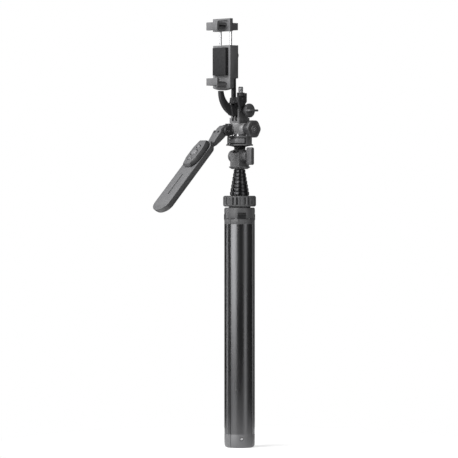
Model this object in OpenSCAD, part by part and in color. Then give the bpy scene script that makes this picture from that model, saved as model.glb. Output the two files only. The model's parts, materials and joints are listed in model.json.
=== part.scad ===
// Four-legged telescopic selfie stick with a pan head, a pan handle that holds
// a remote control, and a spring phone clamp. The origin is the middle of the
// ground face under the folded legs, +Z is up and -Y is the handle side.

/* [Legs] */
// Radius of the bundle of folded legs
leg_r = 19.5; // [17:0.1:23]
// Top of the aluminium leg sections
leg_top = 285; // [220:1:340]
// Wall of the leg extrusion
leg_wall = 1.6; // [1.2:0.1:2.2]
// Turn of the first leg about the pole, from +X
leg_turn = -35; // [-60:1:60]
// Height of a foot
foot_h = 17.3; // [12:0.1:24]

/* [Pole] */
// Outer radius of the widest sliding section
tube_r = 11.5; // [11:0.1:12]
// Number of sliding sections
sections = 7; // [7:1:7]
// Height of one section collar
collar_h = 4.75; // [4:0.05:5]

/* [Head] */
// Height of the lower tilt axis
tilt_z = 371.5; // [371:0.1:372]
// Outer radius of the panning ring
pan_r = 15.8; // [15:0.1:16.5]
// Height of the finger hinge axis
finger_z = 429.6; // [429:0.1:431]

/* [Handle] */
// Slope of the handle below the horizontal
handle_slope = 45; // [35:1:50]
// Length of the handle from its pivot
handle_len = 153; // [120:1:170]
// Width of the handle
handle_w = 27; // [24:1:32]

/* [Clamp] */
// Height of the clamp's turning axis
clamp_z = 500; // [499:0.5:502]
// Phone width that the clamp is open to
phone_w = 71; // [60:1:80]

/* [Hidden] */
$fn = 48;

body_grey = [0.24, 0.24, 0.25];
metal_grey = [0.32, 0.32, 0.34];
pale_grey = [0.62, 0.62, 0.64];
plastic_black = [0.07, 0.07, 0.08];
steel = [0.78, 0.79, 0.8];

run = 0.06;                 // running clearance of every bore
gap = 0.4;                  // free gap between faces that pass each other

leg_in = 13.6;              // inner radius of the folded legs
leg_half = 44;              // half angle of one leg
hinge_r = 16.4;             // radius of the leg hinge pins
hinge_z = 296;              // height of the leg hinge pins
hinge_top = 291.2;          // top of the leg's hinge end
lug_r = 2.9;                // radius of the leg's hinge lug
lug_w = 10.4;               // width of the leg's hinge lug
pin_r = 1.5;                // radius of a leg hinge pin
pin_half = 7.4;             // half length of a leg hinge pin
collar_r = 19.6;            // radius of the leg collar
collar_bot = 292;
collar_top = 306;

step = 0.8;                 // radius step from one section to the next
tube_bot = 30;              // lower end of the widest section
outer_r = tube_r + 0.86;    // outer radius of the fixed tube
outer_top = 320;
cone_bot = 321.7;           // underside of the first section collar
cone_top = cone_bot + sections * collar_h;

lock_r = 14;                // radius of the lock thread
ring_r = 21.1;              // radius of the lock ring
ring_bot = 307.2;
ring_top = 321.1;

cheek_x = 8.2;              // outer face of the clevis cheeks
cheek_y = 9;                // radius of the clevis cheeks
tongue_x = 4.4;             // half width of the tilt tongue
tongue_r = 6.2;             // radius of the tilt tongue
tilt_pin_r = 2.5;

pan_bot = 385;
pan_top = 397.4;
lever_in = 12.9;            // inner radius of the wrap-around lever
lever_pin_r = 14.1;         // distance of the lever pin from the pole's axis
lever_turn = -16;           // turn of the lever pin from -Y
lever_z0 = 388;
lever_z1 = 394.1;
lever_gap = 0.9;            // room above and below the lever in its slot
lever_pin_hole = 1.25;
pan_pin_r = 6;

head_bot = 400.9;
head_top = 413.6;
block = 9;                  // half width of the finger hinge block
block_top = 420.5;
finger_r = 8.2;             // radius of the hinge fingers
finger_t = 3;               // thickness of a lower finger
pitch = 6;                  // distance between lower fingers
knob_z = 406;
knob_r = 11.7;
knob_x0 = 21.4;             // inner face of the head knob's grip
knob_t = 6;                 // thickness of the head knob's grip
slot_x = 1.5;               // half width of a slot between the fingers
slot_bot = 416;             // bottom of those slots
stem_x = 7;                 // reach of the bracket's stem towards -X

grip_y = -27;               // handle pivot
grip_z = 403;
back_n = 3.3;               // height of the handle's back face over the pivot line
top_n = 12;                 // height of the handle's top face
paddle_u = 32;              // where the paddle begins
neck_w = 14.6;              // width of the handle's neck at the bracket
neck_n = 9.2;               // height of the neck's top face at the bracket
screw_x = 3.2;              // place of the two neck screws
screw_u = 9.4;
groove_u = 106.7;           // middle of the groove in the top face
remote_u0 = 33;
remote_u1 = 77;
remote_w = 25;
shutter_u = 56;             // places and sizes of the buttons
shutter_r = 4.6;
zoom_in_u = 45.4;
zoom_out_u = 66.6;
zoom_r = 2.6;

arm_x = 2.2;                // half width of the clamp arm
hub_x = 4.4;                // half width of the arm's hub
stud_x = 9;                 // place of the accessory stud
stud_y = -6.5;
arm_y0 = -12.7;
arm_y1 = -8.2;
wall_y = -31.8;             // front face of the jaw walls
lip_y = -48.8;              // front face of the lips
lip_t = 3.8;
lip_x = 10;
jaw_x = 15.9;
shelf_top = clamp_z - 35.4; // seat under the phone
shelf_bot = shelf_top - 3.8;
roof_bot = shelf_top + phone_w + 1.6;
roof_top = roof_bot + 3.6;
base_r = 45;                // reach of the clamp's lower end from its turning axis
rod_x = 9.5;
rod_r = 1.6;
rod_bot = 490;              // lower end of the guide rods
house_top = 512;            // top of the clamp's spring housing

// ---- general shapes ----

// A cylinder along X from x0 to x1.
module rod_x_axis(x0, x1, r, y = 0, z = 0)
    translate([x0, y, z]) rotate([0, 90, 0]) cylinder(h = x1 - x0, r = r);

// A cylinder along Y from y0 to y1.
module rod_y_axis(y0, y1, r, x = 0, z = 0)
    translate([x, y0, z]) rotate([-90, 0, 0]) cylinder(h = y1 - y0, r = r);

// A box given by its two corners.
module slab(a, b) translate(a) cube(b - a);

// A plate in the YZ plane, x0 to x1; its outline's points are [y, z].
module side_plate(x0, x1)
    translate([x0, 0, 0]) rotate([90, 0, 90]) linear_extrude(x1 - x0) children();

// A plate in the XZ plane, y0 to y1; its outline's points are [x, z].
module front_plate(y0, y1)
    translate([0, y1, 0]) rotate([90, 0, 0]) linear_extrude(y1 - y0) children();

// A flat outline with its corners rounded.
module round_box(w, h, r)
    union() {
        square([w - 2 * r, h], center = true);
        square([w, h - 2 * r], center = true);
        for (i = [-1, 1], j = [-1, 1])
            translate([i * (w / 2 - r), j * (h / 2 - r)]) circle(r);
    }

// The sector between two radii, centred on +X.
module sector(r0, r1, half)
    difference() {
        intersection() {
            circle(r1, $fn = 96);
            polygon([[0, 0], [2 * r1, -2 * r1 * tan(half)], [2 * r1, 2 * r1 * tan(half)]]);
        }
        circle(r0, $fn = 96);
    }

module at_leg(i) rotate([0, 0, leg_turn + 90 * (i - 1)]) children();

// Axes of the handle: X across, Y along it away from the pivot, Z out of its top face.
module on_handle()
    translate([0, grip_y, grip_z]) rotate([handle_slope, 0, 0]) mirror([0, 1, 0]) children();

// ---- legs ----

module leg_tube(i)
    color(body_grey) at_leg(i) translate([0, 0, foot_h]) linear_extrude(leg_top - foot_h)
        difference() {
            sector(leg_in, leg_r, leg_half);
            sector(leg_in + leg_wall, leg_r - leg_wall, leg_half - 6);
        }

module leg_foot(i)
    color(plastic_black) at_leg(i) difference() {
        union() {
            intersection() {
                linear_extrude(foot_h) sector(leg_in, leg_r, leg_half);
                rotate_extrude() polygon([[0, 0], [16.6, 0], [18.4, 1], [19.3, 3], [leg_r, 6],
                    [leg_r, foot_h], [0, foot_h]]);
            }
            translate([0, 0, foot_h]) linear_extrude(14)
                sector(leg_in + leg_wall + run, leg_r - leg_wall - run, leg_half - 6.5);
        }
        translate([leg_r - 5, 0, 11.6]) rotate([0, 90, 0]) cylinder(h = 6, r = 2.2);
    }

module leg_hinge(i)
    color(plastic_black) at_leg(i) difference() {
        union() {
            translate([0, 0, leg_top - 12]) linear_extrude(12)
                sector(leg_in + leg_wall + run, leg_r - leg_wall - run, leg_half - 6.5);
            translate([0, 0, leg_top]) linear_extrude(hinge_top - leg_top)
                sector(leg_in, leg_r, leg_half);
            slab([hinge_r - lug_r, -lug_w / 2, hinge_top - 1], [hinge_r + lug_r, lug_w / 2, hinge_z]);
            translate([hinge_r, -lug_w / 2, hinge_z]) rotate([-90, 0, 0])
                cylinder(h = lug_w, r = lug_r);
        }
        translate([hinge_r, -8, hinge_z]) rotate([-90, 0, 0]) cylinder(h = 16, r = pin_r + run);
    }

module leg_hinge_pins()
    color(steel) for (i = [1:4])
        at_leg(i) translate([hinge_r, -pin_half, hinge_z]) rotate([-90, 0, 0])
            cylinder(h = 2 * pin_half, r = pin_r);

module leg_collar()
    color(body_grey) difference() {
        union() {
            translate([0, 0, collar_bot]) cylinder(h = collar_top - 1 - collar_bot, r = collar_r, $fn = 96);
            translate([0, 0, collar_top - 1]) cylinder(h = 1, r = collar_r - 0.8, $fn = 96);
        }
        translate([0, 0, collar_bot - 1]) cylinder(h = 20, r = outer_r, $fn = 96);
        for (i = [1:4]) at_leg(i) {
            slab([hinge_r - lug_r - 0.3, -lug_w / 2 - gap / 2, collar_bot - 1],
                [25, lug_w / 2 + gap / 2, hinge_z + lug_r + 0.5]);
            translate([hinge_r, -pin_half, hinge_z]) rotate([-90, 0, 0])
                cylinder(h = 2 * pin_half, r = pin_r);
        }
    }

// ---- pole ----

module outer_tube()
    color(metal_grey) translate([0, 0, 20]) difference() {
        cylinder(h = outer_top - 20, r = outer_r, $fn = 96);
        translate([0, 0, -1]) cylinder(h = outer_top, r = tube_r + run, $fn = 96);
    }

module pole_end_cap()
    color(plastic_black) {
        translate([0, 0, 18]) cylinder(h = 2, r = outer_r, $fn = 96);
        translate([0, 0, 20]) cylinder(h = 7, r = tube_r + run, $fn = 96);
    }

module lock_base()
    color(plastic_black) translate([0, 0, collar_top]) difference() {
        cylinder(h = 14.4, r = lock_r, $fn = 96);
        translate([0, 0, -1]) cylinder(h = 20, r = outer_r, $fn = 96);
        translate([0, 0, 10]) cylinder(h = 20, r = outer_r + 0.8, $fn = 96);
    }

module lock_collet()
    color("white") translate([0, 0, collar_top + 10]) difference() {
        cylinder(h = 4, r = outer_r + 0.8 - run, $fn = 96);
        translate([0, 0, -1]) cylinder(h = 6, r = outer_r + run, $fn = 96);
        slab([0, -0.6, -1], [20, 0.6, 6]);
    }

module lock_ring()
    color(plastic_black) difference() {
        rotate_extrude($fn = 96) polygon([[lock_r + run, ring_bot], [ring_r - 1.6, ring_bot],
            [ring_r - 0.5, ring_bot + 0.8], [ring_r, ring_bot + 2], [ring_r, ring_top - 2],
            [ring_r - 0.5, ring_top - 0.8], [ring_r - 1.6, ring_top], [lock_r + run, ring_top]]);
        for (a = [0:15:345]) rotate([0, 0, a])
            translate([ring_r + 0.5, 0, ring_bot - 1]) cylinder(h = 20, r = 1.5);
    }

function section_r(k) = tube_r - step * (k - 1);

// One sliding section: the tube and the collar on its upper end.
module section(k) {
    r = section_r(k);
    z = cone_bot + collar_h * (k - 1);
    color(k == sections ? metal_grey : plastic_black) difference() {
        union() {
            translate([0, 0, tube_bot + 2 * k]) cylinder(h = z - tube_bot - 2 * k + 1, r = r, $fn = 96);
            translate([0, 0, z]) cylinder(h = collar_h - 0.9, r = r + step, $fn = 96);
            translate([0, 0, z + collar_h - 0.9]) cylinder(h = 0.7, r = r + step - 0.4, $fn = 96);
        }
        translate([0, 0, 20]) cylinder(h = 360, r = r - step + run, $fn = 96);
        for (a = [0:45:315]) rotate([0, 0, a + 4])
            slab([r + 0.35, -0.7, z - 1], [r + 3, 0.7, z + collar_h - 1.4]);
    }
}

// ---- lower tilt joint ----

module cheek_outline()
    union() {
        translate([-cheek_y, cone_top + 2]) square([2 * cheek_y, tilt_z - cone_top - 2]);
        translate([0, tilt_z]) circle(cheek_y, $fn = 96);
    }

module lower_clevis()
    color(body_grey) difference() {
        union() {
            translate([0, 0, 335]) cylinder(h = cone_top - 334, r = section_r(sections) - step + run);
            rotate_extrude($fn = 96) polygon([[0, cone_top + 0.2], [10.2, cone_top + 0.2],
                [13.6, cone_top + 2.4], [13.6, cone_top + 3.4], [0, cone_top + 3.4]]);
            for (s = [0, 1]) mirror([s, 0, 0])
                side_plate(tongue_x + run, cheek_x) cheek_outline();
            slab([-cheek_x, -cheek_y, cone_top + 2], [cheek_x, -tongue_r - 0.4, tilt_z + 4.4]);
        }
        rod_x_axis(-20, 20, tilt_pin_r, 0, tilt_z);
    }

module tilt_bolt()
    color(steel) rod_x_axis(-13, 15.2, tilt_pin_r, 0, tilt_z);

module tilt_nut_cap()
    color(plastic_black) difference() {
        union() {
            rod_x_axis(-13.9, -cheek_x, 7.7, 0, tilt_z);
            rod_x_axis(-15.4, -13.9, 6.4, 0, tilt_z);
        }
        rod_x_axis(-13, 0, tilt_pin_r, 0, tilt_z);
    }

module tilt_knob()
    color(plastic_black) difference() {
        union() {
            rod_x_axis(cheek_x + 0.1, 10.4, 7.6, 0, tilt_z);
            rod_x_axis(10.4, 16, 6.1, 0, tilt_z);
            translate([15, 0, tilt_z]) rotate([90, 0, 90]) linear_extrude(9) round_box(5.3, 22.4, 2.4);
        }
        rod_x_axis(0, 15.5, tilt_pin_r + run, 0, tilt_z);
    }

// ---- panning ring ----

module pan_base()
    color(body_grey) difference() {
        union() {
            side_plate(-tongue_x, tongue_x) union() {
                translate([0, tilt_z]) circle(tongue_r, $fn = 96);
                polygon([[-5, tilt_z + 3.5], [5, tilt_z + 3.5], [7, pan_bot + 1], [-5.6, pan_bot + 1]]);
            }
            rotate_extrude($fn = 96) polygon([[0, 383.4], [7.5, 383.4], [14.4, pan_bot], [17.2, pan_bot],
                [17.2, pan_bot + 1.4], [pan_r, pan_bot + 2.2], [pan_r, pan_top - 0.8],
                [pan_r - 0.8, pan_top], [0, pan_top]]);
        }
        rod_x_axis(-20, 20, tilt_pin_r + run, 0, tilt_z);
        translate([0, 0, pan_top - 7]) cylinder(h = 10, r = pan_pin_r + run);
        intersection() {
            translate([0, 0, lever_z0 - lever_gap]) difference() {
                cylinder(h = lever_z1 - lever_z0 + 2 * lever_gap, r = 20, $fn = 96);
                translate([0, 0, -1]) cylinder(h = 20, r = lever_in - 0.5, $fn = 96);
            }
            at_lever() linear_extrude(500) polygon([[-5, 0], [-5, -30], [60, -30], [60, 1.6]]);
        }
        at_lever() {
            translate([0, -lever_pin_r, pan_bot]) cylinder(h = 12, r = lever_pin_hole);
            translate([0, -lever_pin_r, lever_z0 - lever_gap])
                cylinder(h = lever_z1 - lever_z0 + 2 * lever_gap, r = 3);
        }
    }

module at_lever() rotate([0, 0, lever_turn]) children();

// The lever lies along the ring from its pin on the -Y side towards +X.
module pan_lever()
    color(pale_grey) at_lever() difference() {
        translate([0, 0, lever_z0]) union() {
            linear_extrude(lever_z1 - lever_z0) intersection() {
                difference() {
                    circle(pan_r + 0.6, $fn = 96);
                    circle(lever_in, $fn = 96);
                }
                polygon([[0, 0], [0, -40], [40, -40], [40, -2.8]]);
            }
            translate([0, -lever_pin_r, 0]) cylinder(h = lever_z1 - lever_z0, r = 2.6);
        }
        translate([0, -lever_pin_r, pan_bot]) cylinder(h = 12, r = lever_pin_hole + run);
    }

module pan_lever_pin()
    color(steel) at_lever() translate([0, -lever_pin_r, pan_bot + 0.5])
        cylinder(h = 11, r = lever_pin_hole);

module pan_bearing()
    color(steel) translate([0, 0, pan_top + 0.1]) difference() {
        cylinder(h = 2, r = 10);
        translate([0, 0, -1]) cylinder(h = 6, r = pan_pin_r);
    }

// ---- head ----

module finger_outline(r, z0)
    union() {
        translate([0, finger_z]) circle(r, $fn = 96);
        translate([-r, z0]) square([2 * r, finger_z - z0]);
    }

module head_body()
    color(pale_grey) difference() {
        union() {
            translate([0, 0, pan_top - 6.6]) cylinder(h = 10, r = pan_pin_r);
            rotate_extrude($fn = 96) polygon([[0, pan_top + 2.1], [8.6, pan_top + 2.1], [8.6, head_bot],
                [10.9, head_top - 1], [10.9, head_top], [0, head_top]]);
            rod_x_axis(5, 13, 7.4, 0, knob_z);
            slab([-stem_x, -13.7, head_bot - 0.2], [-2, -4, head_top - 0.4]);
            slab([-block, -block, head_top], [block, block, block_top]);
            for (k = [-1:1]) side_plate(k * pitch - finger_t / 2, k * pitch + finger_t / 2)
                finger_outline(finger_r, block_top - 1);
        }
        for (s = [-1, 1]) slab([s * pitch / 2 - slot_x, -12, slot_bot], [s * pitch / 2 + slot_x, 12, 440]);
        rod_x_axis(-20, 20, 2.5 + run, 0, finger_z);
        rod_x_axis(0, 20, 3, 0, knob_z);
    }

module head_knob()
    color(plastic_black) union() {
        rod_x_axis(2, 22, 3 - run, 0, knob_z);
        rod_x_axis(13.2, knob_x0 + 1, 7, 0, knob_z);
        translate([knob_x0, 0, knob_z]) rotate([0, 90, 0]) linear_extrude(knob_t) difference() {
            circle(knob_r, $fn = 96);
            for (a = [0:60:300]) rotate(a + 30) translate([knob_r + 1.4, 0]) circle(3.4);
        }
        rod_x_axis(knob_x0 + knob_t - 1, 28.4, 5, 0, knob_z);
    }

module handle_bracket()
    color(plastic_black) difference() {
        union() {
            slab([-stem_x, -19, head_bot + 0.2], [-2, -13.7, head_top - 0.6]);
            slab([-8, -20.4, 399], [8, -17.6, 411.5]);
            for (s = [0, 1]) mirror([s, 0, 0]) side_plate(5.1, 8) hull() {
                translate([grip_y, grip_z]) circle(6.2, $fn = 32);
                translate([-20.4, 399]) square([2.8, 12.5]);
            }
        }
        rod_x_axis(-20, 20, 1.6, grip_y, grip_z);
    }

module handle_pin()
    color(steel) rod_x_axis(-8.8, 8.8, 1.6, grip_y, grip_z);

// ---- pan handle ----

// Outline of the paddle, with its round end.
module paddle(inset)
    union() {
        translate([-handle_w / 2 + inset, paddle_u + 7]) square([handle_w - 2 * inset,
            handle_len - handle_w / 2 - paddle_u - 7]);
        translate([0, handle_len - handle_w / 2]) circle(handle_w / 2 - inset, $fn = 96);
        polygon([[-handle_w / 2 + inset, paddle_u + 7], [-7 + inset / 2, paddle_u - 3],
            [7 - inset / 2, paddle_u - 3], [handle_w / 2 - inset, paddle_u + 7]]);
    }

module handle_body()
    color(body_grey) on_handle() difference() {
        union() {
            rod_x_axis(-5, 5, 6, 0, 0);
            side_plate(-5, 5) polygon([[-2, 5.6], [3, 8.6], [8, 8.6], [8, -2], [2, -5.6]]);
            // the neck narrows from the bracket towards the paddle
            hull() {
                slab([-neck_w / 2, 7, -2], [neck_w / 2, 8, neck_n]);
                slab([-5.8, 28, 0.4], [5.8, paddle_u - 3.2, 6.9]);
            }
            slab([-5.8, 28, back_n + 2.65], [5.8, 40, 9]);
            translate([0, 0, back_n + 2.6]) linear_extrude(top_n - back_n - 2.6) paddle(0);
        }
        rod_x_axis(-20, 20, 1.6 + run, 0, 0);
        translate([0, (remote_u0 + remote_u1) / 2, top_n - 3]) linear_extrude(10)
            round_box(remote_w - 3, remote_u1 - remote_u0 - 5, 4);
        translate([0, groove_u, top_n - 0.8]) linear_extrude(10) round_box(1.6, 36.2, 0.7);
        for (x = [-screw_x, screw_x]) translate([x, screw_u, neck_n - 1.2]) cylinder(h = 9, r = 1.6);
    }

module handle_back()
    color(plastic_black) on_handle() translate([0, 0, back_n - 0.3]) linear_extrude(2.9) paddle(0.5);

module handle_screws()
    color(steel) on_handle() for (x = [-screw_x, screw_x]) translate([x, screw_u, neck_n - 1.2])
        cylinder(h = 1, r = 1.5);

// ---- remote control ----

module remote_outline(inset)
    translate([0, (remote_u0 + remote_u1) / 2]) offset(r = -inset)
        polygon([[-remote_w / 2, -10], [-8.5, -22], [8.5, -22], [remote_w / 2, -10],
            [remote_w / 2, 10], [8.5, 22], [-8.5, 22], [-remote_w / 2, 10]]);

module remote_case()
    color(plastic_black) on_handle() difference() {
        union() {
            translate([0, 0, top_n + 0.1]) linear_extrude(2.9) remote_outline(0);
            translate([0, (remote_u0 + remote_u1) / 2, top_n - 2.7]) linear_extrude(3)
                round_box(remote_w - 3.4, remote_u1 - remote_u0 - 5.4, 4);
        }
        translate([0, 0, top_n - 1]) linear_extrude(10) remote_outline(1.8);
    }

module remote_cover()
    color(body_grey) on_handle() difference() {
        union() {
            translate([0, 0, top_n + 3]) linear_extrude(1.4) remote_outline(0);
            translate([0, 0, top_n + 4.4]) linear_extrude(1.1) remote_outline(0.8);
        }
        translate([0, 0, top_n + 1]) linear_extrude(3) remote_outline(1.8);
        for (b = [[zoom_in_u, zoom_r], [shutter_u, shutter_r], [zoom_out_u, zoom_r]])
            translate([0, b[0], top_n]) cylinder(h = 10, r = b[1] + run);
    }

module remote_board()
    color("darkgreen") on_handle() translate([0, 0, top_n + 1.4]) linear_extrude(0.9)
        remote_outline(1.8);

module remote_cell()
    color(steel) on_handle() translate([0, shutter_u, top_n - 1]) cylinder(h = 2.4, r = 8);

module button(u, r, top)
    on_handle() union() {
        translate([0, u, top_n + 2.9]) cylinder(h = 0.8, r = r + 0.8);
        translate([0, u, top_n + 3.1]) cylinder(h = top - 3.7, r = r);
        translate([0, u, top_n + top - 0.6]) cylinder(h = 0.6, r = r - 0.5);
    }

module shutter_button() color(pale_grey) button(shutter_u, shutter_r, 6.5);
module zoom_in_button() color(pale_grey) button(zoom_in_u, zoom_r, 6.3);
module zoom_out_button() color(pale_grey) button(zoom_out_u, zoom_r, 6.3);

// ---- finger hinge ----

module finger_bolt()
    color(steel) rod_x_axis(-10, 12, 2.5, 0, finger_z);

module finger_nut()
    color(steel) difference() {
        translate([-10.3, 0, finger_z]) rotate([0, 90, 0]) cylinder(h = 2.8, r = 4.6, $fn = 6);
        rod_x_axis(-12, 0, 2.5 + run, 0, finger_z);
    }

module finger_knob()
    color(plastic_black) difference() {
        union() {
            rod_x_axis(11.3, 17.2, 5.6, 0, finger_z);
            rod_x_axis(17, 19.2, 8.9, 0, finger_z);
            rod_x_axis(19, 20, 7.8, 0, finger_z);
            rod_x_axis(7.6, 11.5, 4.6, 0, finger_z);
            translate([19, 0, finger_z]) rotate([90, 0, 90]) linear_extrude(8)
                round_box(15, 2.6, 1.2);
        }
        rod_x_axis(0, 12, 2.5, 0, finger_z);
    }

// ---- clamp arm ----

module c_outline()
    intersection() {
        difference() {
            translate([-5, 453]) circle(30.8, $fn = 96);
            translate([-8, 457]) circle(22.2, $fn = 96);
            translate([0, finger_z]) circle(finger_r + 0.5, $fn = 96);
        }
        polygon([[-40, 454.2], [-25, 454.2], [-20, 441], [-8.6, 441], [-8.6, 425], [-12, 422],
            [-40, 415]]);
    }

module clamp_arm()
    color(body_grey) difference() {
        union() {
            for (s = [-1, 1]) side_plate(s * 3 - 1.4, s * 3 + 1.4) union() {
                translate([0, finger_z]) circle(8, $fn = 96);
                polygon([[-8, finger_z], [8, finger_z], [6, 440], [-12.7, 440]]);
            }
            side_plate(-hub_x, hub_x) polygon([[-16, 438.2], [6, 438.2], [4, 444], [-8.2, 447],
                [-12.7, 446], [-14, 440]]);
            side_plate(-arm_x, arm_x) c_outline();
            side_plate(-hub_x, hub_x) intersection() {
                c_outline();
                polygon([[-20, 445], [-8, 445], [-8, 420], [-15, 420]]);
            }
            slab([-arm_x, arm_y0, 438.2], [arm_x, arm_y1, clamp_z]);
            rod_y_axis(arm_y0, arm_y1, 5, 0, clamp_z);
            accessory_mount();
        }
        rod_x_axis(-20, 20, 2.5 + run, 0, finger_z);
        rod_y_axis(-30, 0, 3 + run, 0, clamp_z);
    }

// The side mount for a light or a microphone: a tongue, and the flange under the stud.
module accessory_mount() {
    side_plate(7.9, 11) polygon([[-12, 452], [2.4, 452], [2.4, 441], [-2.2, 435.5], [-5.4, 431.5],
        [-5.6, 428.4], [-7.6, 428.4], [-12.5, 441.5]]);
    slab([hub_x - 1, -12.2, 439.5], [8, 2, 446.4]);
    translate([stud_x, stud_y, 448]) cylinder(h = 4.4, r = 5);
    rod_x_axis(10.5, 12.4, 3, -3.4, 444.4);
}

module accessory_stud()
    color(steel) translate([stud_x, stud_y, 452.4]) union() {
        cylinder(h = 6.9, r = 3.175);
        translate([0, 0, 6.9]) cylinder(h = 0.7, r = 2.6);
    }

module clamp_pivot()
    color(steel) union() {
        rod_y_axis(-20, arm_y1 + 0.2, 3, 0, clamp_z);
        rod_y_axis(arm_y1 + 0.1, arm_y1 + 2.6, 4.3, 0, clamp_z);
    }

// ---- phone clamp ----

module clamp_body()
    color(body_grey) difference() {
        union() {
            // housing behind the phone
            slab([-jaw_x, -31.5, 470], [jaw_x, -17.5, house_top]);
            rod_y_axis(-17.5, arm_y0 - 0.1, 7.5, 0, clamp_z);
            // lower wall, its lower edge rounded to swing past the arm
            intersection() {
                slab([-jaw_x, wall_y, 450], [jaw_x, -25.4, 471]);
                rod_y_axis(-60, 0, base_r, 0, clamp_z);
            }
            slab([-lip_x, lip_y, shelf_bot], [lip_x, wall_y + 1, shelf_top]);
            slab([-lip_x, lip_y, shelf_bot], [lip_x, lip_y + lip_t, shelf_top + 5.4]);
        }
        slab([-jaw_x + 1.6, -29.9, 471.6], [jaw_x - 1.6, -19.1, house_top - 2]);
        for (x = [-rod_x, rod_x]) translate([x, -24.5, 500]) cylinder(h = 20, r = rod_r + run);
        rod_y_axis(-22, 0, 3, 0, clamp_z);
        front_plate(wall_y - 1, wall_y + 2) translate([-3, 461.6]) round_box(20, 3.4, 1.6);
    }

module clamp_guide_rods()
    color(steel) for (x = [-rod_x, rod_x])
        translate([x, -24.5, rod_bot]) {
            cylinder(h = roof_bot + 1 - rod_bot, r = rod_r);
            cylinder(h = 2, r = 3.2);
        }

module clamp_spring()
    color(steel) for (x = [-rod_x, rod_x]) translate([x, -24.5, rod_bot + 2.1]) difference() {
        cylinder(h = house_top - rod_bot - 4.2, r = 3);
        translate([0, 0, -1]) cylinder(h = 40, r = 2);
    }

module pad_bars(z)
    for (k = [-2:2]) slab([k * 3.6 - 1.1, lip_y + lip_t + 0.9, z], [k * 3.6 + 1.1, wall_y - 0.9, z + 1.2]);

module clamp_pads()
    color(plastic_black) {
        pad_bars(shelf_top);
        slab([-12, -36.2, 474], [12, -31.5, house_top - 3]);
    }

module upper_jaw()
    color(body_grey) difference() {
        union() {
            slab([-jaw_x, wall_y, 529.8], [jaw_x, -27, roof_top + 5.2]);
            slab([-jaw_x, -27.1, roof_bot - 6], [jaw_x, -18, roof_bot + 3]);
            slab([-lip_x, lip_y, roof_bot], [lip_x, wall_y + 1, roof_top]);
            slab([-lip_x, lip_y, roof_bot - 6.4], [lip_x, lip_y + lip_t, roof_top]);
        }
        for (x = [-rod_x, rod_x]) translate([x, -24.5, 500])
            cylinder(h = roof_bot + 1 - 500, r = rod_r);
        front_plate(wall_y - 1, wall_y + 2) translate([3, roof_top + 0.4]) round_box(20, 5, 2.4);
    }

module upper_jaw_pads() color(plastic_black) pad_bars(roof_bot - 1.2);

leg_tube(1);  // leg_1_tube
leg_tube(2);  // leg_2_tube
leg_tube(3);  // leg_3_tube
leg_tube(4);  // leg_4_tube
leg_foot(1);  // leg_1_foot
leg_foot(2);  // leg_2_foot
leg_foot(3);  // leg_3_foot
leg_foot(4);  // leg_4_foot
leg_hinge(1);  // leg_1_hinge
leg_hinge(2);  // leg_2_hinge
leg_hinge(3);  // leg_3_hinge
leg_hinge(4);  // leg_4_hinge
leg_hinge_pins();
leg_collar();
outer_tube();
pole_end_cap();
lock_base();
lock_ring();
lock_collet();
section(1);  // section_1
section(2);  // section_2
section(3);  // section_3
section(4);  // section_4
section(5);  // section_5
section(6);  // section_6
section(7);  // section_7
lower_clevis();
tilt_bolt();
tilt_nut_cap();
tilt_knob();
pan_base();
pan_lever();
pan_lever_pin();
pan_bearing();
head_body();
head_knob();
handle_bracket();
handle_pin();
handle_body();
handle_back();
handle_screws();
remote_case();
remote_cover();
remote_board();
remote_cell();
shutter_button();
zoom_in_button();
zoom_out_button();
finger_bolt();
finger_nut();
finger_knob();
clamp_arm();
accessory_stud();
clamp_pivot();
clamp_body();
clamp_guide_rods();
clamp_spring();
clamp_pads();
upper_jaw();
upper_jaw_pads();
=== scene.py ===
"""Looks of a four-legged telescopic selfie stick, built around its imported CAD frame."""
import json
import math

import bmesh
import bpy
from mathutils import Matrix, Vector


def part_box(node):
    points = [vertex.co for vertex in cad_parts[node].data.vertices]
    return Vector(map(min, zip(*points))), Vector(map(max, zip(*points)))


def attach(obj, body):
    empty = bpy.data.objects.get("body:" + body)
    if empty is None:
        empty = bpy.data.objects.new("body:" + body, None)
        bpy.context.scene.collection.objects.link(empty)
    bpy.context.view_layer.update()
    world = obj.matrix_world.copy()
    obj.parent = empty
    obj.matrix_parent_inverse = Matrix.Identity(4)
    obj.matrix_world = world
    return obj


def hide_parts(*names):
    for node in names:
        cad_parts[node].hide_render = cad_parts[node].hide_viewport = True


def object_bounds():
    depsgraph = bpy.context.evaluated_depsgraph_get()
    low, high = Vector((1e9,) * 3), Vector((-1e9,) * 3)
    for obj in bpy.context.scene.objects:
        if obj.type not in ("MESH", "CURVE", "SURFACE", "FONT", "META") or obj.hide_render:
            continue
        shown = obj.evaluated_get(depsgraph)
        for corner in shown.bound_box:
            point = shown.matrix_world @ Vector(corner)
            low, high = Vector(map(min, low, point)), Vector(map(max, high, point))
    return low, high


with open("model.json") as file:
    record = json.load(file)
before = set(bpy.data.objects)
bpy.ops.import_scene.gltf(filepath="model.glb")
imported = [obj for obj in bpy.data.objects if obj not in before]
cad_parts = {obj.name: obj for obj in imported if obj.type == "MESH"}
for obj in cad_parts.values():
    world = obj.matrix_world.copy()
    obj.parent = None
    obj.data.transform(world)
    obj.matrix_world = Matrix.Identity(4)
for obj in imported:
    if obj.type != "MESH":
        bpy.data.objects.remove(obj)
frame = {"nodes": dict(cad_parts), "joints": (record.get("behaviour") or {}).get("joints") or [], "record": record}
cad_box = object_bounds()
nodes = frame["nodes"]
joints = {j["name"]: j for j in frame["joints"]}
body_of = {n: b for b, ns in frame["record"]["behaviour"]["bodies"].items() for n in ns}
slot_of = {s["node"]: s["material_slot"] for s in frame["record"]["subparts"]}
MM = 0.001

# ---------------------------------------------------------------- camera

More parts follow.
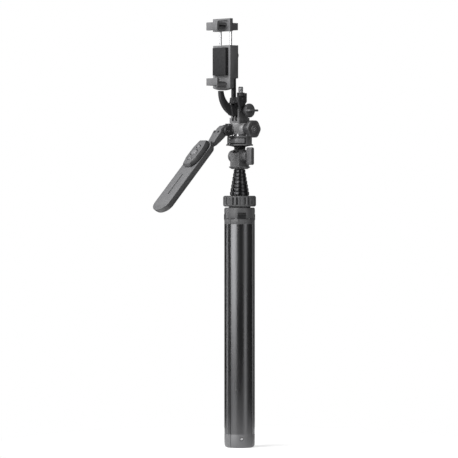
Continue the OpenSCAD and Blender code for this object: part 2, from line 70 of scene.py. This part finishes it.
VIEW_AZIMUTH = math.radians(46.5)
VIEW_DISTANCE = 3.8
EYE_HEIGHT = 0.322
POLE_OFFSET = 0.0135        # how far the pole stands right of the picture's middle
LENS = 233.8
SHIFT_Y = -0.0742           # the horizon lies above the picture's middle

toward_camera = Vector((math.sin(VIEW_AZIMUTH), -math.cos(VIEW_AZIMUTH), 0))
picture_right = Vector((math.cos(VIEW_AZIMUTH), math.sin(VIEW_AZIMUTH), 0))


def make_camera():
    data = bpy.data.cameras.new("camera")
    data.lens = LENS
    data.sensor_width = 36
    data.shift_y = SHIFT_Y
    data.clip_end = 50
    cam = bpy.data.objects.new("camera", data)
    bpy.context.scene.collection.objects.link(cam)
    cam.location = toward_camera * VIEW_DISTANCE - picture_right * POLE_OFFSET
    cam.location.z = EYE_HEIGHT
    cam.rotation_euler = (math.radians(90), 0, VIEW_AZIMUTH)
    bpy.context.scene.camera = cam


make_camera()

# ---------------------------------------------------------------- materials


class Shader:
    """A Principled material whose colour, roughness and bump come from small-scale noise."""

    def __init__(self, name, color, roughness, metallic=0.0, specular=0.5):
        self.mat = bpy.data.materials.new(name)
        self.mat.use_nodes = True
        self.tree = self.mat.node_tree
        self.bsdf = self.tree.nodes["Principled BSDF"]
        self.bsdf.inputs["Metallic"].default_value = metallic
        self.bsdf.inputs["Specular IOR Level"].default_value = specular
        self.coords = self.node("ShaderNodeTexCoord").outputs["Object"]
        self.color = color
        self.roughness = roughness
        self.normal = None

    def node(self, kind, **values):
        made = self.tree.nodes.new(kind)
        for key, value in values.items():
            setattr(made, key, value)
        return made

    def link(self, out, socket):
        self.tree.links.new(out, socket)

    def stretched(self, scale):
        mapping = self.node("ShaderNodeMapping")
        mapping.inputs["Scale"].default_value = scale
        self.link(self.coords, mapping.inputs["Vector"])
        return mapping.outputs["Vector"]

    def noise(self, size, detail=3.0, stretch=(1, 1, 1)):
        """Noise whose features measure about size metres."""
        tex = self.node("ShaderNodeTexNoise")
        tex.inputs["Scale"].default_value = 1.0 / size
        tex.inputs["Detail"].default_value = detail
        self.link(self.stretched(stretch), tex.inputs["Vector"])
        return tex.outputs["Fac"]

    def ramp(self, fac, low, high, start=0.3, stop=0.7):
        ramp = self.node("ShaderNodeValToRGB")
        first, last = ramp.color_ramp.elements
        first.position, last.position = start, stop
        first.color, last.color = low, high
        self.link(fac, ramp.inputs["Fac"])
        return ramp.outputs["Color"]

    def vary_color(self, fac, spread, wear=0.0, wear_color=(0.3, 0.3, 0.31)):
        dark = tuple(c * (1 - spread) for c in self.color) + (1,)
        light = tuple(min(1, c * (1 + spread)) for c in self.color) + (1,)
        out = self.ramp(fac, dark, light)
        if wear > 0:
            edge = self.node("ShaderNodeNewGeometry").outputs["Pointiness"]
            mask = self.ramp(edge, (0, 0, 0, 1), (wear, wear, wear, 1), 0.52, 0.6)
            mix = self.node("ShaderNodeMix", data_type="RGBA")
            self.link(mask, mix.inputs["Factor"])
            self.link(out, mix.inputs["A"])
            mix.inputs["B"].default_value = tuple(wear_color) + (1,)
            out = mix.outputs["Result"]
        self.link(out, self.bsdf.inputs["Base Color"])

    def vary_roughness(self, fac, spread):
        low, high = self.roughness - spread, self.roughness + spread
        self.link(self.ramp(fac, (low, low, low, 1), (high, high, high, 1)),
                  self.bsdf.inputs["Roughness"])

    def bump(self, height, depth):
        """Adds relief of about depth metres."""
        made = self.node("ShaderNodeBump")
        made.inputs["Strength"].default_value = 1.0
        made.inputs["Distance"].default_value = depth
        self.link(height, made.inputs["Height"])
        if self.normal is not None:
            self.link(self.normal, made.inputs["Normal"])
        self.normal = made.outputs["Normal"]
        self.link(self.normal, self.bsdf.inputs["Normal"])


def moulded(name, color, roughness):
    """Textured moulded plastic: a fine spark-eroded grain, slight flow marks, paler worn edges."""
    grain, depth, wear = 0.0005, 0.000003, 0.12
    s = Shader(name, color, roughness, specular=0.45)
    s.vary_color(s.noise(0.012, 5), 0.035, wear, tuple(min(1, c * 2.2 + 0.02) for c in color))
    s.vary_roughness(s.noise(0.006, 4), 0.06)
    s.bump(s.noise(grain, 2), depth)
    return s.mat


def anodised(name, color, roughness):
    """Anodised extrusion with fine lengthwise drawing lines."""
    s = Shader(name, color, roughness, metallic=1.0)
    lines = s.noise(0.0005, 2, (1, 1, 0.01))
    s.vary_color(lines, 0.07, 0.2, (0.45, 0.45, 0.46))
    s.vary_roughness(s.noise(0.02, 4, (1, 1, 0.2)), 0.05)
    s.bump(lines, 0.000006)
    s.bsdf.inputs["Anisotropic"].default_value = 0.3
    return s.mat


def plated(name, color, roughness):
    """Nickel-plated steel with faint turning marks and handling haze."""
    s = Shader(name, color, roughness, metallic=1.0)
    s.vary_color(s.noise(0.003, 4), 0.06)
    s.vary_roughness(s.noise(0.002, 4), 0.08)
    s.bump(s.noise(0.0003, 2), 0.000005)
    return s.mat


def rubber(name, color):
    s = Shader(name, color, 0.8, specular=0.25)
    s.vary_color(s.noise(0.004, 4), 0.15)
    s.vary_roughness(s.noise(0.003, 3), 0.08)
    s.bump(s.noise(0.0003, 2), 0.00003)
    return s.mat


def circuit(name):
    s = Shader(name, (0.02, 0.12, 0.05), 0.35)
    s.vary_color(s.noise(0.002, 2), 0.3)
    s.vary_roughness(s.noise(0.002, 3), 0.08)
    s.bump(s.noise(0.0008, 2), 0.00003)
    return s.mat


MATERIALS = {
    "leg_aluminium": anodised("leg_anodising", (0.038, 0.038, 0.040), 0.27),
    "tube_metal": anodised("section_anodising", (0.045, 0.045, 0.047), 0.3),
    "black_plastic": moulded("black_moulding", (0.012, 0.012, 0.013), 0.42),
    "grey_plastic": moulded("grey_moulding", (0.11, 0.11, 0.113), 0.40),
    "pale_plastic": moulded("pale_moulding", (0.17, 0.17, 0.175), 0.34),
    "pad_rubber": rubber("pad_rubber", (0.018, 0.018, 0.019)),
    "steel": plated("plated_steel", (0.62, 0.62, 0.63), 0.25),
    "circuit_board": circuit("circuit_board"),
    # painted shade for the remote's side slopes
    "slope_painted_shade": moulded("slope_shade_moulding", (0.03, 0.03, 0.031), 0.4),
    "dark_plastic": moulded("dark_moulding", (0.034, 0.034, 0.036), 0.38),
    # the barrel's grey is paler than its own tone: painted light against the shade cast on it
    "barrel_grey_painted_light": moulded("barrel_grey_painted_light", (0.24, 0.24, 0.243), 0.28),
}
# pieces painted another tone than their slot's usual one: the handle bracket a darker plastic; the clamp arm
# darker as painted shade, standing for the shadow of the phone that the scene leaves out; the head's barrel a pale
# grey of its own, made paler still as painted light against the shade that the bracket and handle cast on it
TONES_AND_PAINTED_LIGHT = {"handle_bracket": "dark_plastic", "clamp_arm": "dark_plastic",
             "head_body": "barrel_grey_painted_light"}

# ---------------------------------------------------------------- shared mesh tools


def shade(obj, angle=32):
    """Smooth shading that keeps edges sharper than angle."""
    mesh = obj.data
    mesh.polygons.foreach_set("use_smooth", [True] * len(mesh.polygons))
    bpy.context.view_layer.objects.active = obj
    mesh.set_sharp_from_angle(angle=math.radians(angle))


def apply_modifiers(obj):
    depsgraph = bpy.context.evaluated_depsgraph_get()
    mesh = bpy.data.meshes.new_from_object(obj.evaluated_get(depsgraph))
    obj.modifiers.clear()
    obj.data = mesh


def make_piece(name, bm, material, body, *stands_for):
    """Turns bm into a piece that rides on body and stands for the named CAD nodes."""
    mesh = bpy.data.meshes.new(name)
    bm.to_mesh(mesh)
    bm.free()
    obj = bpy.data.objects.new(name, mesh)
    bpy.context.scene.collection.objects.link(obj)
    mesh.materials.append(MATERIALS[material])
    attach(obj, body)
    if stands_for:
        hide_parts(*stands_for)
    return obj


def soften(node, width):
    """A copy of a CAD node with its edges rounded by width metres; it stands for the node."""
    bm = bmesh.new()
    bm.from_mesh(nodes[node].data)
    bmesh.ops.remove_doubles(bm, verts=bm.verts, dist=0.000004)
    bmesh.ops.dissolve_limit(bm, angle_limit=math.radians(0.6), verts=bm.verts, edges=bm.edges)
    obj = make_piece(node + "_shell", bm, slot_of[node], body_of[node], node)
    if node in TONES_AND_PAINTED_LIGHT:
        obj.data.materials[0] = MATERIALS[TONES_AND_PAINTED_LIGHT[node]]
    bevel = obj.modifiers.new("round", "BEVEL")
    bevel.width = width
    bevel.segments = 2
    bevel.limit_method = "ANGLE"
    bevel.angle_limit = math.radians(35)
    bevel.use_clamp_overlap = True
    apply_modifiers(obj)
    shade(obj)
    return obj


def dress(node):
    """Gives a CAD node that stays visible its material."""
    nodes[node].data.materials.clear()
    nodes[node].data.materials.append(MATERIALS[slot_of[node]])
    shade(nodes[node])


def two_tone(obj, material, chosen):
    """Gives the faces that chosen picks another material."""
    obj.data.materials.append(MATERIALS[material])
    for face in obj.data.polygons:
        if chosen(face):
            face.material_index = 1


# edge roundings in millimetres
EDGE_WIDTHS = {
    "leg_collar": 0.35, "lock_base": 0.3, "lower_clevis": 0.5, "tilt_nut_cap": 0.8,
    "tilt_knob": 0.7,
    "pan_base": 0.4, "pan_lever": 1.0, "head_body": 0.4, "handle_bracket": 0.5,
    "shutter_button": 0.25, "zoom_in_button": 0.25, "zoom_out_button": 0.25, "finger_knob": 0.6,
    "clamp_arm": 0.6, "clamp_body": 0.6, "upper_jaw": 0.6, "clamp_pads": 0.3, "upper_jaw_pads": 0.3,
    "finger_nut": 0.3, "pole_end_cap": 0.3,
}
for i in range(1, 5):
    EDGE_WIDTHS[f"leg_{i}_foot"] = 0.5
    EDGE_WIDTHS[f"leg_{i}_hinge"] = 0.35
for k in range(1, 8):
    EDGE_WIDTHS[f"section_{k}"] = 0.2

# nodes that pieces further down stand for
REBUILT = {"handle_body", "handle_back", "handle_screws", "remote_case", "remote_cover",
           "lock_ring", "accessory_stud", "head_knob"}
shells = {}
for name in nodes:
    if name in REBUILT:
        continue
    if name in EDGE_WIDTHS:
        shells[name] = soften(name, EDGE_WIDTHS[name] * MM)
    else:
        dress(name)

BARREL_TOP = 414.5 * MM
TONGUE_TOP = 384.6 * MM
SLOT_LOW, SLOT_HIGH, SLOT_RADIUS = 387 * MM, 395.1 * MM, 15.4 * MM
FINGER_KNOB_FACE = 18.9 * MM


def in_lever_slot(face):
    return SLOT_LOW < face.center.z < SLOT_HIGH and face.center.xy.length < SLOT_RADIUS


# the finger block keeps the darker grey while the barrel is paler, partly painted light; the tilt tongue is
# painted black, partly its own black plastic and partly painted shade under the ring; the faces of the lever's
# slot are painted black as shade in the recess
two_tone(shells["head_body"], "grey_plastic", lambda f: f.center.z > BARREL_TOP)
two_tone(shells["pan_base"], "black_plastic",
         lambda f: f.center.z < TONGUE_TOP or in_lever_slot(f))
two_tone(shells["finger_knob"], "dark_plastic", lambda f: f.center.x < FINGER_KNOB_FACE)

# ---------------------------------------------------------------- modelling helpers


def skin(rings, capped=True):
    """A skin over rings of equal point counts, closed at both ends when capped."""
    bm = bmesh.new()
    loops = [[bm.verts.new(p) for p in ring] for ring in rings]
    count = len(rings[0])
    for low, high in zip(loops, loops[1:]):
        for i in range(count):
            j = (i + 1) % count
            bm.faces.new((low[i], low[j], high[j], high[i]))
    if capped:
        bm.faces.new(loops[0][::-1])
        bm.faces.new(loops[-1])
    bmesh.ops.recalc_face_normals(bm, faces=bm.faces)
    return bm


def axes_along(direction):
    """Two unit vectors square to direction and to each other."""
    d = Vector(direction).normalized()
    side = Vector((0, 0, 1)) if abs(d.z) < 0.9 else Vector((1, 0, 0))
    a = d.cross(side).normalized()
    return a, d.cross(a).normalized()


def turned(profile, base, direction, count=48, wave=None):
    """Rings of a turned shape: profile is (distance along direction, radius) in metres."""
    a, b = axes_along(direction)
    d = Vector(direction).normalized()
    rings = []
    for along, radius in profile:
        ring = []
        for i in range(count):
            t = 2 * math.pi * i / count
            r = radius * (wave(t, along) if wave else 1)
            ring.append(Vector(base) + d * along + (a * math.cos(t) + b * math.sin(t)) * r)
        rings.append(ring)
    return rings


def round_block(half_w, low, high, power, count=40):
    """Points (x, n) of a rounded rectangle."""
    mid, half_h = (low + high) / 2, (high - low) / 2
    points = []
    for i in range(count):
        t = 2 * math.pi * (i + 0.5) / count
        c, s = math.cos(t), math.sin(t)
        points.append((half_w * math.copysign(abs(c) ** (2 / power), c),
                       mid + half_h * math.copysign(abs(s) ** (2 / power), s)))
    return points


def screw_head(name, centre, direction, radius, height, body, material="steel"):
    """A domed screw head with a cross recess."""
    d = Vector(direction).normalized()
    profile = [(0, radius), (0.45 * height, radius), (0.8 * height, radius * 0.9),
               (height, radius * 0.66)]
    obj = make_piece(name, skin(turned(profile, centre, d, 32)), material, body)
    a, b = axes_along(d)
    cutters = []
    for along, across in ((a, b), (b, a)):
        bm = bmesh.new()
        bmesh.ops.create_cube(bm, size=1)
        turn = Matrix((along, across, d)).transposed().to_4x4()
        size = Matrix.Diagonal((radius * 1.25, radius * 0.26, height * 1.2, 1))
        place = Matrix.Translation(Vector(centre) + d * height * 1.05)
        bmesh.ops.transform(bm, matrix=place @ turn @ size, verts=bm.verts)
        bmesh.ops.recalc_face_normals(bm, faces=bm.faces)
        cutters.append(bm)
    carve(obj, cutters)
    shade(obj)
    return obj


def carve(obj, cutters):
    """Cuts each bmesh in cutters out of obj."""
    made = []
    for i, bm in enumerate(cutters):
        mesh = bpy.data.meshes.new("cutter")
        bm.to_mesh(mesh)
        bm.free()
        tool = bpy.data.objects.new("cutter", mesh)
        bpy.context.scene.collection.objects.link(tool)
        cut = obj.modifiers.new(f"cut{i}", "BOOLEAN")
        cut.operation = "DIFFERENCE"
        cut.solver = "EXACT"
        cut.object = tool
        made.append(tool)
    bpy.context.view_layer.update()
    apply_modifiers(obj)
    for tool in made:
        bpy.data.objects.remove(tool)


# ---------------------------------------------------------------- pan handle

GRIP = Vector(joints["handle_tilt"]["pos_m"])
OUT = Vector(joints["remote_release"]["axis"])
ALONG = Vector((0, OUT.y, -OUT.z))


def handle_point(x, u, n):
    """A point of the handle in millimetres: across, away from the pivot, out of the top face."""
    return GRIP + Vector((x, 0, 0)) * MM + ALONG * (u * MM) + OUT * (n * MM)


def smooth_step(t):
    t = max(0.0, min(1.0, t))
    return t * t * (3 - 2 * t)


def paddle_outline(inset, retreat):
    """Plan of the paddle as (x, u) points: a shoulder by the neck, straight sides, a round end."""
    half, start_u, side_u, end_u = 13.4, 29, 41.5, 139.4
    right = [(6.4, 29.0), (7.2, 30.5), (9.0, 33.2), (11.2, 35.8), (12.8, 38.4), (half, side_u)]
    right += [(half, side_u + (end_u - side_u) * k / 12) for k in range(1, 12)]
    arc = [(half * math.cos(a), end_u + half * math.sin(a))
           for a in (math.radians(180 * k / 36) for k in range(37))]
    left = [(-x, u) for x, u in reversed(right)]
    scale = (half - inset) / half
    points = []
    for x, u in right + arc + left:
        if u > end_u:
            u = end_u + (u - end_u) * scale
        u -= retreat * smooth_step((u - 100) / 48)
        points.append((x * scale, max(u, start_u + inset)))
    return points


PADDLE_BACK, PADDLE_TOP = 3.2, 12.0
END_RETREAT = 3.0           # how much shorter the paddle is at its back


def retreat_at(n):
    return END_RETREAT * ((PADDLE_TOP - n) / (PADDLE_TOP - PADDLE_BACK)) ** 1.4


def make_handle():
    """The paddle with its groove and seam, the neck, the eye, and the two neck screws."""
    levels = [(PADDLE_BACK, 1.8), (3.5, 1.0), (4.1, 0.45), (5.0, 0.12), (6.0, 0), (8.0, 0),
              (10.0, 0), (11.3, 0), (11.7, 0.1), (11.94, 0.3), (PADDLE_TOP, 0.6)]
    rings = [[handle_point(x, u, n) for x, u in paddle_outline(inset, retreat_at(n))]
             for n, inset in levels]
    paddle = make_piece("handle_paddle", skin(rings), "grey_plastic", "handle", "handle_body",
                        "handle_back", "handle_screws")
    groove = [[handle_point(x, u, n) for x, n in round_block(w, 10.9, 13.5, 2.4, 16)]
              for u, w in ((88.6, 0.4), (89.4, 0.95), (124, 0.95), (124.8, 0.4))]
    seam, inner = [], []
    for n in (6.35, 6.65):
        retreat = retreat_at(n)
        seam.append([handle_point(x * 1.05, u + 0.6 * smooth_step((u - 120) / 10), n)
                     for x, u in paddle_outline(0, retreat)])
        inner.append([handle_point(x, u, n) for x, u in paddle_outline(0.5, retreat)])
    collar = [seam[0], seam[1], inner[1], inner[0], seam[0]]
    ring_cut = skin(collar, False)
    bmesh.ops.remove_doubles(ring_cut, verts=ring_cut.verts, dist=0.000001)
    bmesh.ops.recalc_face_normals(ring_cut, faces=ring_cut.faces)
    carve(paddle, [skin(groove), ring_cut])
    shade(paddle, 40)
    neck = []
    for u, w, lo, hi in ((6.9, 6.4, -1.6, 8.4), (7.2, 7.1, -1.9, 9.0), (8, 7.3, -2.0, 9.2),
                         (12, 7.0, -1.6, 8.7), (18, 6.5, -1.0, 8.0), (26, 5.9, 0.2, 7.1),
                         (31, 5.8, 2.4, 7.3), (36, 5.6, 4.6, 9.0)):
        neck.append([handle_point(x, u, n) for x, n in round_block(w, lo, hi, 12, 48)])
    screw_seats = [handle_point(3.3 * side, 10.2, 8.2) for side in (-1, 1)]
    wells = [skin(turned([(0, 1.75 * MM), (4 * MM, 1.75 * MM)], seat, OUT, 32))
             for seat in screw_seats]
    stem = make_piece("handle_neck", skin(neck), "grey_plastic", "handle")
    carve(stem, wells)
    shade(stem, 40)
    eye = [(0, 5.6 * MM), (0.4 * MM, 6.0 * MM), (9.4 * MM, 6.0 * MM), (9.8 * MM, 5.6 * MM)]
    eye = turned(eye, GRIP - Vector((4.9 * MM, 0, 0)), (1, 0, 0), 48)
    shade(make_piece("handle_eye", skin(eye), "grey_plastic", "handle"))
    tongue = [[handle_point(x, u, n) for x, n in round_block(4.8, lo, hi, 12, 32)]
              for u, lo, hi in ((-3.4, -3.0, 6.9), (-1.5, -4.8, 8.0), (2.6, -4.8, 8.8),
                                (7.6, -1.9, 8.9))]
    shade(make_piece("handle_tongue", skin(tongue), "grey_plastic", "handle"))
    for number, seat in zip((1, 3), screw_seats):
        screw_head(f"neck_screw_{number}", seat, OUT, 1.55 * MM, 0.6 * MM, "handle",
                   "black_plastic")


# ---------------------------------------------------------------- remote control


def lens(t, power=2.9):
    """A full, boat-like outline in units of its half width and half length."""
    c, u = math.cos(t), math.sin(t)
    r = (abs(c) ** power + abs(u) ** power) ** (-1 / power)
    return r * c, r * u


def facet(t):
    """The long hexagon of the top face in the same units."""
    c, u = abs(math.cos(t)), abs(math.sin(t))
    slant = 1.8
    r = min(1 / max(c, 1e-6), 1 / max(u, 1e-6), (slant + 0.42) / max(slant * c + u, 1e-6))
    return r * math.cos(t), r * math.sin(t)


# each button's node, its place along the handle, and the radii of its well and cap
BUTTONS = (("shutter_button", 56, 5.7, 4.9), ("zoom_in_button", 45.4, 3.5, 2.8),
           ("zoom_out_button", 66.6, 3.5, 2.8))


def make_remote():
    """A boat-shaped body that slopes up to a flat top facet, over a dark parting gap; its side slopes are painted
    darker as shade.
    """
    middle, half_l, half_w, count = 55.0, 22.4, 12.9, 96

    def ring(n, size_w, size_l, to_facet):
        points = []
        for i in range(count):
            t = 2 * math.pi * i / count
            (ax, au), (bx, bu) = lens(t), facet(t)
            x = (ax + (bx - ax) * to_facet) * half_w * size_w
            u = (au + (bu - au) * to_facet) * half_l * size_l
            points.append(handle_point(x, middle + u, n))
        return points

    foot = skin([ring(12.02, 0.93, 0.95, 0), ring(13.2, 0.93, 0.95, 0)])
    shade(make_piece("remote_foot", foot, "black_plastic", "remote", "remote_case"), 35)
    shell = make_piece("remote_shell", skin([
        ring(12.9, 0.94, 0.96, 0), ring(12.95, 0.985, 0.99, 0), ring(13.2, 1.0, 1.0, 0),
        ring(14.0, 0.98, 0.995, 0.1), ring(15.2, 0.9, 0.975, 0.4), ring(16.4, 0.79, 0.95, 0.75),
        ring(17.3, 0.7, 0.93, 0.97), ring(17.45, 0.68, 0.92, 1), ring(17.5, 0.65, 0.9, 1)]),
        "grey_plastic", "remote", "remote_cover")
    wells = [skin(turned([(0, r * MM), (6 * MM, r * MM)], handle_point(0, u, 15.2), OUT, 48))
             for node, u, r, cap_r in BUTTONS]
    carve(shell, wells)
    shade(shell, 28)
    # the side slopes take a darker plastic: painted shade, darker than the top facet because less light falls on
    # them
    two_tone(shell, "slope_painted_shade", lambda f: abs(f.normal.x) > 0.35 and f.normal.dot(OUT) < 0.9)
    for node, u, well_r, r in BUTTONS:
        profile = [(along * MM, (r - inset) * MM)
                   for along, inset in ((0, 0), (2.7, 0), (3.0, 0.25), (3.1, 0.6))]
        cap = skin(turned(profile, handle_point(0, u, 14.1), OUT, 48))
        shade(make_piece(node + "_cap", cap, "grey_plastic", node, node), 35)


def open_bracket():
    """Lowers the bracket's web, which leaves a U-shaped fork with the barrel in view above it."""
    web = bmesh.new()
    bmesh.ops.create_cube(web, size=1)
    bmesh.ops.scale(web, vec=Vector((13.4, 3.8, 12)) * MM, verts=web.verts)
    bmesh.ops.translate(web, vec=Vector((1.8, -18.9, 408.6)) * MM, verts=web.verts)
    carve(shells["handle_bracket"], [web])
    shade(shells["handle_bracket"])


make_handle()
make_remote()
open_bracket()

# ---------------------------------------------------------------- small turned parts


def make_lock_ring():
    """The twist-lock ring: a rounded band with grip grooves, every third of them shallow; the deep grooves are
    painted black as shade.
    """
    low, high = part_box("lock_ring")
    bottom, top, outer = low[2], high[2], high[0]
    height, inner = top - bottom, outer - 6.8 * MM
    round_r = 2.6 * MM
    grooves, depth, shallow = 24, 0.07, 0.35

    def grip(t, along):
        edge = min(along, height - along) / round_r
        fade = smooth_step((edge - 0.25) / 0.9)
        place = t / (2 * math.pi) * grooves
        groove = max(0.0, 1 - abs(place % 1.0 - 0.5) / 0.3)
        share = shallow if int(place) % 3 == 0 else 1.0
        return 1 - depth * share * fade * smooth_step(groove)

    def in_shaded_groove(face):
        return (17 * MM < face.center.xy.length < outer - 0.75 * MM
                and bottom + 2 * MM < face.center.z < top - 2 * MM)

    profile = [(0, inner)]
    for i in range(7):
        a = math.radians(15 * i)
        profile.append((round_r * (1 - math.cos(a)), outer - round_r * (1 - math.sin(a))))
    profile += [(height * k / 6, outer) for k in (2, 3, 4)]
    for i in range(7):
        a = math.radians(15 * i)
        profile.append((height - round_r * (1 - math.sin(a)),
                        outer - round_r * (1 - math.cos(a))))
    profile.append((height, inner))
    rings = turned(profile, (0, 0, bottom), (0, 0, 1), 288, grip)
    bm = skin(rings + [rings[0]], False)
    bmesh.ops.remove_doubles(bm, verts=bm.verts, dist=0.00001)
    bmesh.ops.recalc_face_normals(bm, faces=bm.faces)
    band = make_piece("lock_ring_grip", bm, "grey_plastic", body_of["lock_ring"], "lock_ring")
    shade(band, 30)
    # the deep groove faces are painted black: painted shade in the grooves
    two_tone(band, "black_plastic", in_shaded_groove)


def make_head_knob():
    """The locking knob: a shallow six-lobed grip with a dished face and a raised centre."""
    low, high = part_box("head_knob")
    outer, start, face_x = 11.7 * MM, 13.2 * MM, 26.8 * MM
    neck_end = 7.9 * MM
    centre = Vector((start, 0, (low[2] + high[2]) / 2))

    def lobes(t, along):
        return 1 - 0.035 * (1 - math.cos(6 * t)) * smooth_step((along - neck_end) / (0.3 * MM))

    profile = [(0, 0.6), (0.3, 0.6), (7.9, 0.6), (8.2, 0.8), (8.4, 0.95), (8.9, 1.0), (13.3, 1.0),
               (13.8, 0.975), (14.15, 0.9), (14.2, 0.8), (13.8, 0.74), (13.8, 0.46), (14.9, 0.44),
               (15.2, 0.4)]
    knob = skin(turned([(a * MM, r * outer) for a, r in profile], centre, (1, 0, 0), 144, lobes))
    grip = make_piece("head_knob_grip", knob, slot_of["head_knob"], body_of["head_knob"],
                      "head_knob")
    shade(grip)
    two_tone(grip, "dark_plastic", lambda f: f.center.x < face_x)


def make_stud():
    """The 1/4 inch stud with its thread."""
    low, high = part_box("accessory_stud")
    pitch, outer, root = 1.27 * MM, 3.17 * MM, 2.6 * MM
    base = Vector(((low[0] + high[0]) / 2, (low[1] + high[1]) / 2, low[2]))
    height = high[2] - low[2]

    def thread(t, along):
        turn = (along / pitch - t / (2 * math.pi)) % 1.0
        lift = 1 - abs(2 * turn - 1)
        taper = smooth_step((height - along) / (0.9 * MM))
        return (root + (outer - root) * min(1, 1.4 * lift) * taper) / outer

    steps = 64
    profile = [(height * i / steps, outer) for i in range(steps + 1)]
    stud = skin(turned(profile, base, (0, 0, 1), 40, thread))
    shade(make_piece("stud_thread", stud, "steel", body_of["accessory_stud"], "accessory_stud"), 50)


def make_screws():
    """The screws of the head knob, of the nut cap and of the feet, and each leg's hinge lug."""
    knob_low, knob_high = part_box("head_knob")
    face = Vector((knob_high[0] - 0.2 * MM, 0, (knob_low[2] + knob_high[2]) / 2))
    screw_head("knob_screw", face, (1, 0, 0), 2.3 * MM, 0.6 * MM, body_of["head_knob"])
    nut_low, nut_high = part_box("tilt_nut_cap")
    face = Vector((nut_low[0] + 0.2 * MM, 0, (nut_low[2] + nut_high[2]) / 2))
    screw_head("nut_cap_screw", face, (-1, 0, 0), 2.0 * MM, 0.5 * MM, body_of["tilt_nut_cap"])
    for i in range(1, 5):
        axis = Vector(joints[f"leg_{i}_fold"]["axis"])
        out = Vector((axis.y, -axis.x, 0)).normalized()
        centre = Vector(joints[f"leg_{i}_fold"]["pos_m"])
        if out.dot(Vector((centre.x, centre.y, 0))) < 0:
            out = -out
        face = out * 17.4 * MM + Vector((0, 0, 11.6 * MM))
        screw_head(f"foot_screw_{i}", face, out, 1.9 * MM, 0.8 * MM, f"leg_{i}")
        make_lug(i, out)


def make_lug(i, out):
    """The black hinge lug that shows in the collar's window."""
    across = Vector((-out.y, out.x, 0))
    half_w = 5.1
    low, high = 291.3 * MM, 297.6 * MM
    rings = []
    for radius, trim in ((18.9, 0.0), (19.36, 0.0), (19.42, 0.35)):
        ring = []
        for sx, sz in ((-1, -1), (1, -1), (1, 1), (-1, 1)):
            z = (low if sz < 0 else high) - sz * trim * MM
            ring.append(out * radius * MM + across * (sx * (half_w - trim) * MM)
                        + Vector((0, 0, z)))
        rings.append(ring)
    shade(make_piece(f"leg_{i}_lug", skin(rings), "black_plastic", f"leg_{i}"))


make_lock_ring()
make_head_knob()
make_stud()
make_screws()

# ---------------------------------------------------------------- stage and light


def plain_stage():
    """A white studio floor that glows a little, as a lit table does."""
    mat = bpy.data.materials.new("pale_floor")
    mat.use_nodes = True
    bsdf = mat.node_tree.nodes["Principled BSDF"]
    bsdf.inputs["Base Color"].default_value = (0.55, 0.55, 0.55, 1)
    bsdf.inputs["Roughness"].default_value = 0.9
    bsdf.inputs["Specular IOR Level"].default_value = 0.0
    bsdf.inputs["Emission Color"].default_value = (1, 1, 1, 1)
    bsdf.inputs["Emission Strength"].default_value = 0.72
    bm = bmesh.new()
    bmesh.ops.create_circle(bm, cap_ends=True, segments=96, radius=0.32)
    mesh = bpy.data.meshes.new("floor")
    bm.to_mesh(mesh)
    bm.free()
    mesh.materials.append(mat)
    floor = bpy.data.objects.new("floor", mesh)
    bpy.context.scene.collection.objects.link(floor)
    floor.location.z = cad_box[0][2] - 0.0002


def soft_box(name, turn, distance, height, size, radiance):
    """A soft box turned by so many degrees about the pole, right of the camera when positive."""
    swing = math.radians(turn)
    place = (toward_camera * math.cos(swing) + picture_right * math.sin(swing)) * distance
    place.z = height
    data = bpy.data.lights.new(name, "AREA")
    data.shape = "RECTANGLE"
    data.size, data.size_y = size
    data.energy = radiance * math.pi * size[0] * size[1]
    lamp = bpy.data.objects.new(name, data)
    bpy.context.scene.collection.objects.link(lamp)
    lamp.location = place
    aim = Vector((0, 0, 0.28)) - place
    lamp.rotation_euler = aim.to_track_quat("-Z", "Y").to_euler()


def light_stage():
    """White behind everything; a dim room, two tall soft boxes, one above and two behind."""
    world = bpy.data.worlds.new("studio")
    world.use_nodes = True
    tree = world.node_tree
    seen = tree.nodes["Background"]
    seen.inputs["Color"].default_value = (1, 1, 1, 1)
    room = tree.nodes.new("ShaderNodeBackground")
    room.inputs["Color"].default_value = (1, 1, 1, 1)
    room.inputs["Strength"].default_value = 0.07
    path = tree.nodes.new("ShaderNodeLightPath")
    mix = tree.nodes.new("ShaderNodeMixShader")
    tree.links.new(path.outputs["Is Camera Ray"], mix.inputs["Fac"])
    tree.links.new(room.outputs["Background"], mix.inputs[1])
    tree.links.new(seen.outputs["Background"], mix.inputs[2])
    tree.links.new(mix.outputs["Shader"], tree.nodes["World Output"].inputs["Surface"])
    bpy.context.scene.world = world
    soft_box("key", -44, 1.6, 0.8, (1.35, 1.5), 4.7)
    soft_box("fill", 44, 1.9, 0.4, (0.65, 1.5), 1.5)
    soft_box("top", -60, 1.0, 1.5, (0.9, 0.9), 10.0)
    soft_box("rim_left", -108, 1.8, 0.6, (0.35, 1.5), 3.0)
    soft_box("rim_right", 120, 1.8, 0.6, (0.4, 1.5), 1.0)


plain_stage()
light_stage()
bpy.context.scene.view_settings.view_transform = "Standard"
